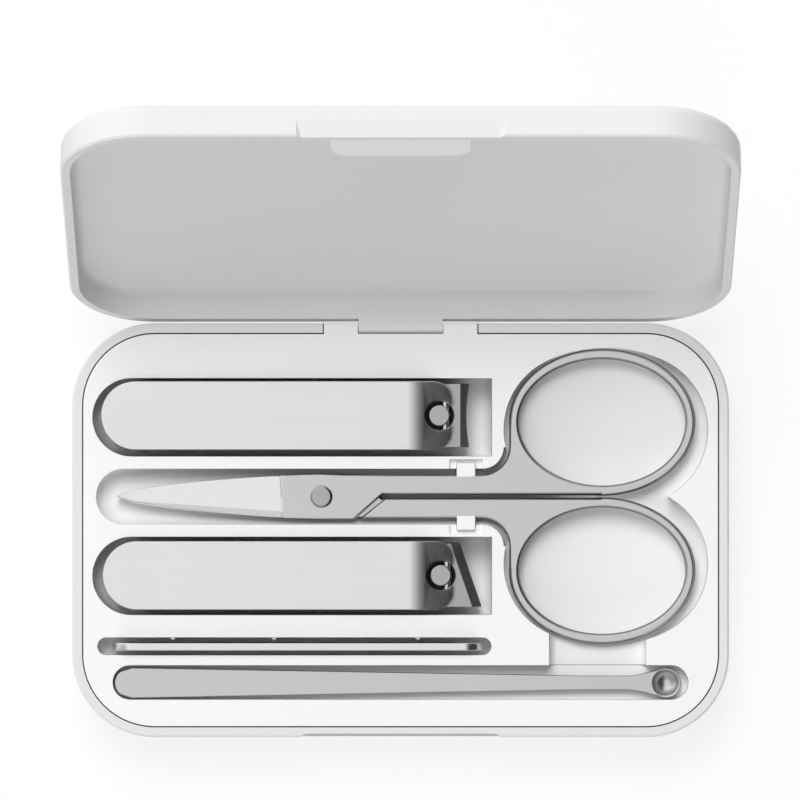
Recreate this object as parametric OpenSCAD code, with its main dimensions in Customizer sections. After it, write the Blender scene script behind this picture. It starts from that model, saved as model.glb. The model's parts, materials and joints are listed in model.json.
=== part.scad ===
// Travel manicure set: a hinged plastic case with two nail clippers, folding
// handled scissors, a nail file and an ear pick, each in its own pocket.
// Origin: centre of the underside of the base. +X points to the scissors'
// finger rings, +Y to the hinge and +Z up. The lid is drawn open.

/* [Case] */
// Height of the base, from its underside to the parting line
base_h = 12; // [11.5:0.25:14]
// Thickness of the base's outer wall
wall = 1.6; // [1.4:0.1:1.9]
// Thickness of the base's floor
floor_t = 1.5; // [1.2:0.1:1.8]
// Thickness of the lid's side wall
lid_wall = 1.5; // [1.3:0.1:1.8]
// Thickness of the lid's top
lid_top_t = 1.6; // [1.2:0.1:2.2]
// Clear depth inside the lid
lid_cavity = 4.3; // [4:0.1:6]
// Radius of the case's corners, seen from above
corner_r = 13.5; // [12:0.5:15]
// Radius of the rounded outer edges of base and lid
edge_r = 1.8; // [1:0.1:2.4]
// Bevel along the rims at the parting line
rim_bevel = 0.3; // [0.25:0.05:0.4]
// Radius inside the lid, between its top and its walls
lid_fillet = 1.4; // [0.8:0.1:2]
// Air line between the closed lid and the base
parting_gap = 0.12; // [0.08:0.02:0.2]
// Air line between the tray and the base's wall
tray_gap = 0.2; // [0.15:0.05:0.3]
// Width of the thumb notch in the front rims
notch_w = 31; // [20:1:36]
// Depth of the thumb notch
notch_depth = 0.6; // [0.3:0.1:0.7]
// Height of the thumb notch in the base
notch_h = 4.5; // [3:0.5:6]

/* [Tray layout] */
// Land between the left ends of the pockets and the case's outside
left_land = 3.3; // [3:0.1:6]
// Land between the ring pockets and the case's outside
right_land = 3.4; // [3:0.1:6]
// Land between the ear pick's pocket and the case's front
front_land = 6.1; // [5.5:0.1:9]
// Land between the straight clipper's pocket and the case's back
back_land = 9; // [6.5:0.1:12]
// Rib between each clipper's pocket and the scissors' channel
channel_rib = 2; // [1.8:0.1:2.6]
// Rib between the file's slot and the slanted clipper's pocket
file_rib = 3.65; // [2.5:0.05:5]
// Rib between the ear pick's pocket and the file's slot
pick_rib = 1.64; // [1.4:0.02:3]
// Rib between the clippers' pockets and the ring pockets
ring_rib = 1.9; // [1.6:0.1:2.6]
// Air under and over things that lie or slide against each other
seat_gap = 0.05; // [0.03:0.01:0.1]
// How far the levers' flat tops stand above the tray
proud = 1.25; // [0.8:0.05:1.6]

/* [Hinge] */
// Opening angle of the lid
lid_open = 115; // [95:5:120]
// Distance of the hinge pin's axis inside the case's back face
hinge_in = 0.65; // [0.6:0.05:0.75]
// Distance of the hinge pin's axis below the parting line
hinge_drop = 1; // [1:0.05:1.15]
// Radius of the hinge barrels
barrel_r = 1; // [0.9:0.05:1]
// Radius of the hinge pin
pin_r = 0.5; // [0.4:0.05:0.55]
// Width of the lid's middle barrel
lid_barrel_w = 13.7; // [10:0.1:16]
// Width of each barrel on the tray
tray_barrel_w = 5.55; // [4:0.05:8]
// Running gap at the ends of the barrels
barrel_gap = 0.1; // [0.1:0.05:0.3]
// Height of the tongue that carries the tray's barrels
tongue_h = 4; // [3:0.25:6]

/* [Magnet catch] */
// Length of the bar magnets along X
magnet_l = 15; // [10:0.5:18]
// Depth of the bar magnets along Y
magnet_d = 2.6; // [2:0.1:3]
// Thickness of the bar magnets
magnet_t = 2; // [1.5:0.1:2.2]
// Width of the cover over the lid's magnet
cover_w = 21.8; // [20:0.2:26]
// Depth of the cover over the lid's magnet, from the lid's front face
cover_d = 8; // [7:0.1:9]
// Thickness of the cover
cover_t = 0.9; // [0.7:0.1:1.2]
// Distance of the cover below the lid's rim
cover_drop = 0.5; // [0.4:0.1:1]

/* [Clippers] */
// Distance from the post to the lever's tail end
lever_back = 55.1; // [50:0.5:60]
// Distance from the post to the lever's front lobes
lever_front = 1.95; // [1.8:0.05:2.1]
// Width of the lever
lever_w = 11.2; // [10.6:0.1:11.6]
// Thickness of the lever
lever_t = 1.3; // [1.1:0.05:1.4]
// Distance from the post back to the bend in the lever
bend_back = 3.9; // [3.4:0.1:6]
// Rise from the fulcrum bar to the lever's flat part
bend_rise = 1.25; // [1:0.05:1.5]
// Fall of the lever from the bend to its tail
tail_fall = 0.65; // [0.3:0.05:1]
// Distance from the post to the heel end of the jaws
jaw_back = 50; // [46:0.5:52]
// Distance from the post to the cutting edge
jaw_front = 4.9; // [4.7:0.1:5.2]
// Width of the jaws
jaw_w = 10.4; // [10:0.1:10.8]
// Thickness of each jaw's strip
jaw_t = 1.6; // [1.4:0.05:1.7]
// Open gap between the cutting edges
bite = 1.95; // [1.9:0.05:2.2]
// Angle of the slanted cutting edge
slant = 19; // [10:1:22]
// Radius of the concave cutting edge of the straight clipper
edge_curve_r = 29.6; // [25:0.2:40]
// Radius of the post's shank
post_r = 1.5; // [1.3:0.05:1.55]
// Radius of the post's head
post_head_r = 1.78; // [1.7:0.02:1.9]
// Radius of the lever's fulcrum bar
bar_r = 0.6; // [0.5:0.05:0.65]
// Distance of the fulcrum bar in front of the post's axis
bar_ahead = 1; // [0.9:0.05:1.1]
// Height of the fulcrum bar above the upper jaw
bar_lift = 1.35; // [1.3:0.05:1.5]
// Gap between the straight clipper's lever and its pocket's end
clip_gap_back = 1.4; // [1:0.1:3]
// Gap between the cutting edge and its pocket's end
clip_gap_front = 3.7; // [2.5:0.1:5]
// Gap between the lever's sides and the pocket's walls
clip_gap_side = 0.72; // [0.5:0.02:1]
// How far each clipper lies behind the middle of its pocket
clip_shift = 0.3; // [0:0.05:0.4]
// Radius between the clippers' pockets' floor and their walls
clip_fillet = 1; // [0.5:0.1:1.1]

/* [Scissors] */
// Distance from the pivot to the tip
blade_l = 33.3; // [28:0.5:36]
// Half width of the closed blades at the pivot
blade_half_w = 3.7; // [3.4:0.05:4]
// Total thickness of the scissors
scissor_t = 2.4; // [2:0.1:2.8]
// Distance from the pivot to the centres of the finger rings
ring_x = 45.8; // [42:0.1:50]
// Distance of the rings' centres from the centreline
ring_y = 12.1; // [12:0.05:12.6]
// Half length of a ring's hole
ring_hole_a = 13.55; // [12.5:0.05:14]
// Half height of a ring's hole
ring_hole_b = 10.3; // [9.5:0.05:10.4]
// Width of a ring's band
ring_band = 1.65; // [1.3:0.05:1.7]
// Rounding of a ring's edges
ring_round = 0.6; // [0.4:0.05:0.65]
// Half width of the closed arms
arm_half_w = 3.55; // [3.3:0.05:3.7]
// Gap between the closed arms
arm_gap = 0.67; // [0.4:0.01:0.9]
// Radius of the concave web between arm and ring
web_r = 4.5; // [3.5:0.1:5]
// Radius of the pivot's head
pivot_head_r = 1.8; // [1.6:0.05:2]
// Radius of the pivot's shank
pivot_r = 1.1; // [0.9:0.05:1.2]
// Width of the channel around the closed scissors
channel_w = 9.1; // [8.6:0.1:9.6]
// Gap between the tip and the channel's end
tip_gap = 3.4; // [2:0.1:5]
// Length of the ring pockets along X
ring_pocket_l = 33.3; // [32.4:0.1:36]
// Half height of each ring pocket
ring_pocket_b = 13.3; // [13.1:0.05:13.5]
// End radius of each ring pocket
ring_pocket_r = 12.4; // [12.2:0.05:12.5]
// Gap between the ring pockets' left side and the rings
ring_gap = 0.9; // [0.6:0.1:1.4]
// Depth of the ring pockets at their middle
ring_pocket_depth = 6; // [5.5:0.1:6.5]
// Radius of the dished floor of the ring pockets
ring_dish_r = 55; // [50:1:70]
// Radius between the channel's floor and its sides
channel_fillet = 2.6; // [2:0.1:3]
// Length of a snap tab along the arm
tab_l = 3; // [2.4:0.1:3.6]
// Thickness of a snap tab's spring wall
tab_t = 0.95; // [0.85:0.05:1.1]
// Reach of a snap tab's nose over the arm
tab_reach = 0.45; // [0.3:0.05:0.6]
// Thickness of a snap tab's nose
tab_nose_t = 0.95; // [0.8:0.05:1.2]
// Distance of the snap tabs from the ring pockets
tab_back = 6.15; // [5:0.05:9]
// Depth of the recess round each snap tab
tab_recess = 1.1; // [0.8:0.1:1.6]
// How far that recess reaches into the rib
tab_recess_w = 1.55; // [1.3:0.05:1.6]

/* [File and ear pick] */
// Length of the nail file
file_l = 60.4; // [55:0.2:62]
// Thickness of the nail file
file_t = 1.22; // [1:0.02:1.5]
// Width of the nail file, which stands on edge
file_w = 6.6; // [5.5:0.1:7.2]
// Height of the file's edge above the tray
file_proud = 1.4; // [0.8:0.1:1.8]
// Width of the file's slot
file_slot_w = 2.88; // [2.4:0.02:3.4]
// Length of the file's slot
file_slot_l = 64.2; // [63.4:0.1:67]
// Length of the ear pick from end to end
pick_l = 92.4; // [84:0.2:93]
// Width of the ear pick's handle end
pick_w = 4.95; // [4.2:0.05:5]
// Width of the ear pick's neck
pick_neck_w = 2.3; // [2.2:0.05:3]
// Radius of the ear pick's spoon
spoon_r = 2.45; // [2.1:0.05:2.5]
// Thickness of the ear pick
pick_t = 1.9; // [1.5:0.05:2.2]
// Width of the ear pick's pocket
pick_pocket_w = 5.63; // [5.5:0.01:6]
// Depth of the ear pick's pocket
pick_pocket_depth = 3.2; // [2.6:0.1:4]
// Clear length at the ends of the ear pick
pick_end_gap = 0.7; // [0.6:0.05:1.5]
// How far the ear pick lies to the left of its pocket's middle
pick_shift = 0.5; // [0:0.05:0.5]
// Length of the finger scoop
scoop_l = 15.8; // [12:0.1:18]
// Depth of the finger scoop
scoop_depth = 3; // [2.6:0.1:3.4]
// Radius between the finger scoop's floor and its sides
scoop_fillet = 1.3; // [0.8:0.1:1.6]

/* [Hidden] */
$fn = 64;

// layout along X, from the left side of the case
clip_pocket_l = clip_gap_back + lever_back + jaw_front + clip_gap_front;
clip_pocket_w = lever_w + 2 * clip_gap_side + 0.1;
ring_outer_a = ring_hole_a + ring_band;
ring_outer_b = ring_hole_b + ring_band;
scissor_back = ring_gap + blade_l + tip_gap + ring_x - ring_outer_a;
left_reach = max(ring_rib + clip_pocket_l, scissor_back - 2 * ring_gap);
case_w = left_land + left_reach + ring_pocket_l + right_land;
ring_pocket_x0 = case_w / 2 - right_land - ring_pocket_l;
clip_x1 = ring_pocket_x0 - ring_rib;
clip_x0 = clip_x1 - clip_pocket_l;
post_x = clip_x1 - clip_gap_front - jaw_front;
pivot_x = ring_pocket_x0 + ring_gap + ring_outer_a - ring_x;
channel_x0 = pivot_x - blade_l - tip_gap;

// layout along Y, from the front of the case
case_d = front_land + pick_pocket_w + pick_rib + file_slot_w + file_rib
    + 2 * clip_pocket_w + 2 * channel_rib + channel_w + back_land;
pick_y0 = -case_d / 2 + front_land;
pick_y = pick_y0 + pick_pocket_w / 2 - 0.1;
file_y0 = pick_y0 + pick_pocket_w + pick_rib;
file_y = file_y0 + file_slot_w / 2 - 0.05;
slant_y0 = file_y0 + file_slot_w + file_rib;
slant_x = post_x + 0.25;
slant_y = slant_y0 + clip_pocket_w / 2 + clip_shift / 3;
channel_y0 = slant_y0 + clip_pocket_w + channel_rib;
scissor_y = channel_y0 + channel_w / 2;
straight_y0 = channel_y0 + channel_w + channel_rib;
straight_y = straight_y0 + clip_pocket_w / 2 + clip_shift;

// heights
lid_h = lid_cavity + lid_top_t;
lever_top = lever_t / 2 + bend_rise;
jaw_rise = bite + 2.7;
jaw_slope = (jaw_rise + 0.65 - jaw_t - seat_gap) / (jaw_back + 2.6 - jaw_t);
axis_x = -jaw_back + jaw_t;
function jaw_under(x) = jaw_t + seat_gap + (x - axis_x) * jaw_slope;
bar_z = jaw_under(bar_ahead) + jaw_t + bar_lift;
clip_floor = base_h + proud - bar_z - lever_top - seat_gap;
arm_top = base_h - tab_nose_t - seat_gap;
scissor_z = arm_top - scissor_t / 2;
// the scissors lie on the flanks of the channel's floor, just above its middle
flank = channel_fillet - channel_w / 2 + blade_half_w;
channel_floor = arm_top - scissor_t - seat_gap - 0.02
    - channel_fillet + sqrt(pow(channel_fillet, 2) - pow(flank, 2));
foot_r = web_r - 1 + channel_fillet;
pick_floor = base_h - pick_pocket_depth;
file_floor = base_h + file_proud - file_w - seat_gap;
clip_z = clip_floor + seat_gap;
tray_inset = wall + tray_gap;

// hinge
hinge_y = case_d / 2 - hinge_in;
hinge_z = base_h - hinge_drop;
tongue_half = lid_barrel_w / 2 + barrel_gap + tray_barrel_w;

// quarter circle of radius r about c, from angle a0 to a1
function arc(c, r, a0, a1, n = 6) =
    [for (i = [0:n]) c + r * [cos(a0 + (a1 - a0) * i / n), sin(a0 + (a1 - a0) * i / n)]];
// rectangle with rounded corners, as points
function round_rect(x0, x1, y0, y1, r, n = 4) = concat(
    arc([x1 - r, y0 + r], r, -90, 0, n), arc([x1 - r, y1 - r], r, 0, 90, n),
    arc([x0 + r, y1 - r], r, 90, 180, n), arc([x0 + r, y0 + r], r, 180, 270, n));
// half section with height h from x = 0 to x: lower edge of radius e, upper edge bevelled by b
function half_section(x, h, e, b = 0) = concat([[0, 0]], arc([x - e, e], e, -90, 0),
    b > 0 ? [[x, h - b], [x - b, h]] : [[x, h]], [[0, h]]);
// whole section from -x to x with height h and lower edges of radius e
function both_sides(x, h, e) = concat(arc([x - e, e], e, -90, 0), [[x, h], [-x, h]],
    arc([-x + e, e], e, 180, 270));

// Solid slab with corners of radius r, lower edge of radius e and upper edge bevelled by b
module slab(w, d, h, r, e, b = 0) {
    dx = w / 2 - r;
    dy = d / 2 - r;
    for (k = [0:3])
        translate([(k == 0 || k == 3 ? dx : -dx), (k < 2 ? dy : -dy), 0])
            rotate([0, 0, 90 * k])
                rotate_extrude(angle = 90) polygon(half_section(r, h, e, b));
    for (s = [0, 180]) rotate([0, 0, s]) {
        translate([dx, 0, 0]) rotate([90, 0, 0])
            linear_extrude(2 * dy, center = true) polygon(half_section(r, h, e, b));
        translate([0, dy, 0]) rotate([90, 0, 90])
            linear_extrude(2 * dx, center = true) polygon(half_section(r, h, e, b));
    }
    translate([-dx, -dy, 0]) cube([2 * dx, 2 * dy, h]);
}

// Prism with round corners
module prism(w, d, r, h) {
    translate([-w / 2 + r, -d / 2, 0]) cube([w - 2 * r, d, h]);
    translate([-w / 2, -d / 2 + r, 0]) cube([w, d - 2 * r, h]);
    for (x = [-1, 1], y = [-1, 1])
        translate([x * (w / 2 - r), y * (d / 2 - r), 0]) cylinder(r = r, h = h);
}

// Slot from x0 to x1 and y0 to y1 with round ends where asked
module slot(x0, x1, y0, y1, h, left = true, right = true) {
    r = (y1 - y0) / 2;
    translate([x0 + (left ? r : 0), y0, 0])
        cube([x1 - x0 - (left ? r : 0) - (right ? r : 0), 2 * r, h]);
    if (left) translate([x0 + r, y0 + r, 0]) cylinder(r = r, h = h);
    if (right) translate([x1 - r, y0 + r, 0]) cylinder(r = r, h = h);
}

// Slot cut down to z = 0, its floor rounded into the walls by e, and by e1 at the right end.
// The left end is round, the right end square.
module dished_slot(x0, x1, y0, y1, h, e, e1) {
    r = (y1 - y0) / 2;
    translate([x0 + r, y0 + r, 0]) {
        rotate([0, 0, 90]) rotate_extrude(angle = 180) polygon(half_section(r, h, e));
        intersection() {
            rotate([90, 0, 90]) linear_extrude(x1 - x0 - r) polygon(both_sides(r, h, e));
            rotate([90, 0, 0]) linear_extrude(2 * r + 2, center = true)
                polygon(half_section(x1 - x0 - r, h, e1));
        }
    }
}

// Oval of four arcs, with half axes a and b and end radius r
function side_r(a, b, r) = ((a - r) * (a - r) + b * b - r * r) / (2 * (b - r));
module oval(a, b, r) {
    R = side_r(a, b, r);
    c = a - r;
    xj = c + r * c / (R - r);
    for (s = [-1, 1]) translate([s * c, 0]) circle(r = r);
    intersection() {
        translate([0, b - R]) circle(r = R, $fn = 128);
        translate([0, R - b]) circle(r = R, $fn = 128);
        square([2 * xj, 2 * b + 2], center = true);
    }
}

// Solid of revolution round Z, stretched along Y by k
module stretched(k) {
    scale([1, k, 1]) rotate_extrude($fn = 128) children();
}
// Band with rounded edges round an oval hole of half axes a and b
module oval_band(a, b, band, h, e) {
    z = h / 2;
    difference() {
        stretched((b + band) / (a + band))
            polygon(concat([[0, -z]], arc([a + band - e, -z + e], e, -90, 0, 4),
                arc([a + band - e, z - e], e, 0, 90, 4), [[0, z]]));
        stretched(b / a)
            polygon(concat([[0, -z - 1], [a + e, -z - 1]], arc([a + e, -z + e], e, 270, 180, 4),
                arc([a + e, z - e], e, 180, 90, 4), [[a + e, z + 1], [0, z + 1]]));
    }
}

// Cylinder along X from x0 to x1
module rod(x0, x1, r) {
    translate([x0, 0, 0]) rotate([0, 90, 0]) cylinder(r = r, h = x1 - x0);
}

// Plan of the thumb notch with its ramped ends, in a front face
module thumb_notch(h) {
    translate([0, -case_d / 2, 0]) linear_extrude(h)
        polygon([[-notch_w / 2 - 1.6, -1], [-notch_w / 2 - 0.8, 0],
            [-notch_w / 2, notch_depth], [notch_w / 2, notch_depth],
            [notch_w / 2 + 0.8, 0], [notch_w / 2 + 1.6, -1]]);
}

module base_shell() {
    color("whitesmoke") difference() {
        slab(case_w, case_d, base_h, corner_r, edge_r, rim_bevel);
        translate([0, 0, floor_t])
            prism(case_w - 2 * wall, case_d - 2 * wall, corner_r - wall, base_h);
        translate([0, 0, base_h - notch_h]) thumb_notch(notch_h + 1);
        // gap in the back wall that the tray's hinge tongue fills
        translate([-tongue_half - tray_gap, case_d / 2 - 3, base_h - tongue_h])
            cube([2 * (tongue_half + tray_gap), 4, tongue_h + 1]);
    }
}

// One ring pocket, with its centre on the ring's side and its floor dished
module ring_pocket() {
    zf = base_h - ring_pocket_depth;
    translate([ring_pocket_x0 + ring_pocket_l / 2, ring_y + ring_outer_b + 0.2 - ring_pocket_b, 0])
        difference() {
            translate([0, 0, zf]) linear_extrude(ring_pocket_depth + 1)
                oval(ring_pocket_l / 2, ring_pocket_b, ring_pocket_r);
            difference() {
                translate([-ring_pocket_l, -ring_pocket_l, zf - 1])
                    cube([2 * ring_pocket_l, 2 * ring_pocket_l, ring_pocket_depth]);
                translate([0, 0, zf + ring_dish_r]) sphere(r = ring_dish_r, $fn = 200);
            }
        }
}

// Everything cut out of the tray for the scissors
module scissor_pocket() {
    top = base_h + 1;
    translate([0, scissor_y, 0]) {
        translate([0, 0, channel_floor]) {
            dished_slot(channel_x0, ring_pocket_x0 + 12, -channel_w / 2, channel_w / 2,
                top, channel_fillet, 0.1);
            // rounded corners where the channel opens into the ring pockets
            for (s = [0, 1]) mirror([0, s, 0])
                difference() {
                    translate([ring_pocket_x0 - web_r + 1, channel_w / 2 - channel_fillet, 0])
                        cube([web_r + 3, web_r - 1 + channel_fillet, top]);
                    translate([ring_pocket_x0 - web_r + 1, channel_w / 2 + web_r - 1, 0])
                        rotate([0, 0, -90]) rotate_extrude(angle = 90)
                            polygon(concat([[0, -1], [foot_r, -1]],
                                arc([foot_r, channel_fillet], channel_fillet, 270, 180),
                                [[web_r - 1, top + 1], [0, top + 1]]));
                }
        }
        for (s = [0, 1]) mirror([0, s, 0]) {
            ring_pocket();
            // recess in the rib round each snap tab, and the tab's own seat
            translate([tab_x - tab_l / 2 - 1.2, channel_w / 2 - 1.2, base_h - tab_recess])
                cube([tab_l + 2.4, tab_recess_w + 1.2, top]);
            translate([tab_x - tab_l / 2 - 0.03, channel_w / 2 - 1.2, tab_foot])
                cube([tab_l + 0.06, tab_back_y + 0.03 - channel_w / 2 + 1.2, top]);
        }
    }
}
tab_x = ring_pocket_x0 - tab_back;
tab_foot = channel_floor - 1.3;
tab_inner_y = channel_w / 2;
tab_back_y = tab_inner_y + tab_t;

module tool_tray() {
    tray_h = base_h - floor_t;
    top = base_h + 1;
    color("white") difference() {
        union() {
            translate([0, 0, floor_t])
                prism(case_w - 2 * tray_inset, case_d - 2 * tray_inset,
                    corner_r - tray_inset, tray_h);
            // tongue through the gap in the base's back wall
            translate([-tongue_half, case_d / 2 - tray_inset - 1, base_h - tongue_h + tray_gap]) {
                cube([2 * tongue_half, tray_inset + 1, tongue_h - tray_gap - hinge_drop]);
                cube([2 * tongue_half, tray_inset + 1 - hinge_in, tongue_h - tray_gap]);
            }
            translate([0, hinge_y, hinge_z]) rod(-tongue_half, tongue_half, barrel_r);
        }
        // room for the lid's middle barrel, then the pin's bore
        translate([-lid_barrel_w / 2 - barrel_gap, hinge_y - barrel_r - 0.1,
                hinge_z - barrel_r - 0.1])
            cube([lid_barrel_w + 2 * barrel_gap, 5, 5]);
        translate([0, hinge_y, hinge_z])
            rod(-tongue_half + 0.25, tongue_half - 0.25, pin_r + 0.02);
        // clippers
        for (y0 = [straight_y0, slant_y0]) translate([0, 0, clip_floor])
            dished_slot(clip_x0, clip_x1, y0, y0 + clip_pocket_w, top, clip_fillet,
                1.5 * clip_fillet);
        scissor_pocket();
        // nail file
        difference() {
            translate([0, 0, file_floor])
                slot(clip_x1 - 0.1 - file_slot_l, clip_x1 - 0.1, file_y0,
                    file_y0 + file_slot_w, top);
            for (f = [0.19, 0.447, 0.812])
                translate([clip_x1 - file_slot_l + f * file_slot_l,
                        file_y0 + file_slot_w + 0.05, file_floor - 1])
                    cylinder(r = 0.42, h = base_h - file_floor + 0.7, $fn = 24);
        }
        // ear pick, with the finger scoop that reaches the lower ring pocket
        translate([0, 0, pick_floor])
            slot(-pick_l / 2 - pick_end_gap, pick_l / 2 + pick_end_gap,
                pick_y0, pick_y0 + pick_pocket_w, top);
        translate([scoop_x, scissor_y - ring_y, base_h - scoop_depth]) rotate([90, 0, 0])
            linear_extrude(scissor_y - ring_y - pick_y0 - 2.4)
                polygon(both_sides(scoop_l / 2, top, scoop_fillet));
        // slot for the catch magnet, open at the underside
        translate([-magnet_l / 2 - 0.1, base_magnet_y - magnet_d / 2 - 0.1, 0])
            cube([magnet_l + 0.2, magnet_d + 0.2, base_h - 1.2]);
    }
}
base_magnet_y = -case_d / 2 + tray_inset + 0.9 + magnet_d / 2;
scoop_x = ring_pocket_x0 + ring_pocket_l / 2 - 1.35;

// Two spring tabs that hold the scissors' arms down
module scissor_snap_tabs() {
    color("white") for (s = [0, 1]) translate([tab_x, scissor_y, 0]) mirror([0, s, 0])
        rotate([90, 0, 90]) linear_extrude(tab_l, center = true)
            polygon([[tab_inner_y, tab_foot], [tab_back_y, tab_foot],
                [tab_back_y, base_h - 0.3], [tab_back_y - 0.3, base_h],
                [arm_half_w - tab_reach + 0.25, base_h],
                [arm_half_w - tab_reach, base_h - 0.25],
                [arm_half_w - tab_reach, base_h - tab_nose_t],
                [tab_inner_y, base_h - tab_nose_t - 0.1]]);
}

module hinge_pin() {
    color("silver") translate([0, hinge_y, hinge_z])
        rod(-tongue_half + 0.3, tongue_half - 0.3, pin_r);
}

module base_magnet() {
    color("dimgray") translate([-magnet_l / 2, base_magnet_y - magnet_d / 2,
            base_h - 1.25 - magnet_t]) cube([magnet_l, magnet_d, magnet_t]);
}

// Places what is modelled on the closed lid in the open position
module on_lid() {
    translate([0, hinge_y, hinge_z]) rotate([-lid_open, 0, 0])
        translate([0, -hinge_y, -hinge_z]) children();
}
lid_z = base_h + parting_gap;
cover_z = lid_z + cover_drop;
boss_w = magnet_l + 2.4;

module lid_shell() {
    color("whitesmoke") on_lid() difference() {
        union() {
            difference() {
                translate([0, 0, lid_z + lid_h]) mirror([0, 0, 1])
                    slab(case_w, case_d, lid_h, corner_r, edge_r, rim_bevel);
                translate([0, 0, lid_z + lid_cavity]) mirror([0, 0, 1])
                    slab(case_w - 2 * lid_wall, case_d - 2 * lid_wall, lid_cavity + 1,
                        corner_r - lid_wall, lid_fillet);
                // thumb notch, deepest at the rim
                intersection() {
                    translate([0, 0, lid_z - 1]) thumb_notch(4);
                    translate([0, -case_d / 2, lid_z]) rotate([90, 0, 90])
                        linear_extrude(2 * notch_w, center = true)
                            polygon([[-1, -1], [notch_depth, -1], [notch_depth, 0],
                                [-0.2, 3.6], [-1, 3.6]]);
                }
            }
            // boss that holds the magnet behind the cover
            translate([-boss_w / 2, -case_d / 2 + lid_wall - 0.2, cover_z + cover_t])
                cube([boss_w, magnet_d + 2.4, lid_h - lid_top_t - cover_drop - cover_t + 0.2]);
            // barrel on its web
            translate([0, hinge_y, hinge_z])
                rod(-lid_barrel_w / 2, lid_barrel_w / 2, barrel_r);
            translate([-lid_barrel_w / 2, hinge_y - lid_wall + hinge_in, hinge_z])
                cube([lid_barrel_w, lid_wall - 0.05, hinge_drop + parting_gap + rim_bevel + 0.1]);
        }
        translate([0, hinge_y, hinge_z])
            rod(-lid_barrel_w, lid_barrel_w, pin_r + 0.04);
        translate([-magnet_l / 2 - 0.1, -case_d / 2 + lid_wall + 1, cover_z])
            cube([magnet_l + 0.2, magnet_d + 0.2, cover_t + magnet_t + 0.1]);
    }
}

module lid_magnet() {
    color("dimgray") on_lid()
        translate([-magnet_l / 2, -case_d / 2 + lid_wall + 1.1, cover_z + cover_t + 0.05])
            cube([magnet_l, magnet_d, magnet_t]);
}

module lid_magnet_cover() {
    d = cover_d - lid_wall - 0.02;
    color("white") on_lid()
        translate([0, -case_d / 2 + lid_wall + 0.02, cover_z]) {
            translate([-cover_w / 2, 0, 0]) cube([cover_w, d - 2.5, cover_t - 0.02]);
            translate([-cover_w / 2 + 2.5, 0, 0]) cube([cover_w - 5, d, cover_t - 0.02]);
            for (s = [-1, 1]) translate([s * (cover_w / 2 - 2.5), d - 2.5, 0])
                cylinder(r = 2.5, h = cover_t - 0.02);
        }
}

// Clipper parts. Frame: x = 0 at the post, z = 0 under the lower jaw.
heel_x = axis_x + 1.9;
rivet_r = 1;

// What lies behind a cutting edge turned by angle a, over a strip's width
module behind_edge(a, back) {
    reach = 2 * jaw_back;
    translate([jaw_front, 0, 0]) rotate([0, 0, a])
        translate([-reach - back, -reach / 2, -1]) cube([reach, reach, 20]);
}
// Prism whose section, drawn with x = 0 at the cutting edge, runs along the edge
module along_edge(a, pts) {
    intersection() {
        translate([jaw_front, 0, 0]) rotate([0, 0, a]) rotate([90, 0, 0])
            linear_extrude(3 * jaw_w, center = true) polygon(pts);
        translate([-4, -jaw_w / 2, -1]) cube([16, jaw_w, 20]);
    }
}
// Rounded heel about the axis the jaws spring on, from height z above that axis
module heel_round(z) {
    translate([axis_x, 0, jaw_t + seat_gap / 2]) intersection() {
        rotate([90, 0, 0]) cylinder(r = jaw_t + seat_gap / 2, h = jaw_w, center = true);
        translate([-5, -jaw_w, z]) cube([5, 2 * jaw_w, 5 - seat_gap / 2]);
    }
}
module edge_curve(a) {
    if (a == 0) translate([jaw_front - 0.46 + edge_curve_r, 0, -1])
        cylinder(r = edge_curve_r, h = 20, $fn = 128);
}

module lower_jaw(a) {
    color("gainsboro") difference() {
        union() {
            intersection() {
                rotate([90, 0, 0]) linear_extrude(jaw_w, center = true)
                    polygon([[axis_x, 0], [9, 0], [9, jaw_t], [axis_x, jaw_t]]);
                behind_edge(a, 2.5);
            }
            heel_round(-5);
            along_edge(a, [[-3.2, 0.4], [-2.5, 0], [0, 2.5], [0, 2.7], [-0.6, 2.7],
                [-2.4, jaw_t - 0.02], [-3.2, jaw_t - 0.4]]);
        }
        translate([0, 0, -1]) cylinder(r = post_r + 0.02, h = 5);
        translate([0, 0, -1]) cylinder(r = 2.4, h = 1.75);
        translate([heel_x, 0, -1]) cylinder(r = rivet_r + 0.02, h = 5);
        translate([heel_x, 0, -1]) cylinder(r = 1.9, h = 1.6);
        edge_curve(a);
    }
}

module upper_jaw(a) {
    z1 = jaw_under(jaw_front - 1.4) + jaw_t - 0.15;
    color("gainsboro") difference() {
        union() {
            intersection() {
                rotate([90, 0, 0]) linear_extrude(jaw_w, center = true)
                    polygon([[axis_x, jaw_under(axis_x)], [9, jaw_under(9)],
                        [9, jaw_under(9) + jaw_t], [axis_x, jaw_under(axis_x) + jaw_t]]);
                behind_edge(a, 1.4);
            }
            heel_round(seat_gap / 2);
            along_edge(a, [[-1.4, z1], [0, jaw_rise + 0.2], [0, jaw_rise],
                [-0.6, jaw_rise], [-3, jaw_under(jaw_front - 3) + 0.15],
                [-3, jaw_under(jaw_front - 3) + 1], [-1.6, z1 - 0.1]]);
        }
        translate([0, 0, -1]) cylinder(r = post_r + 0.4, h = 12);
        translate([heel_x, 0, -1]) cylinder(r = rivet_r + 0.25, h = 12);
        edge_curve(a);
    }
}

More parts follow.
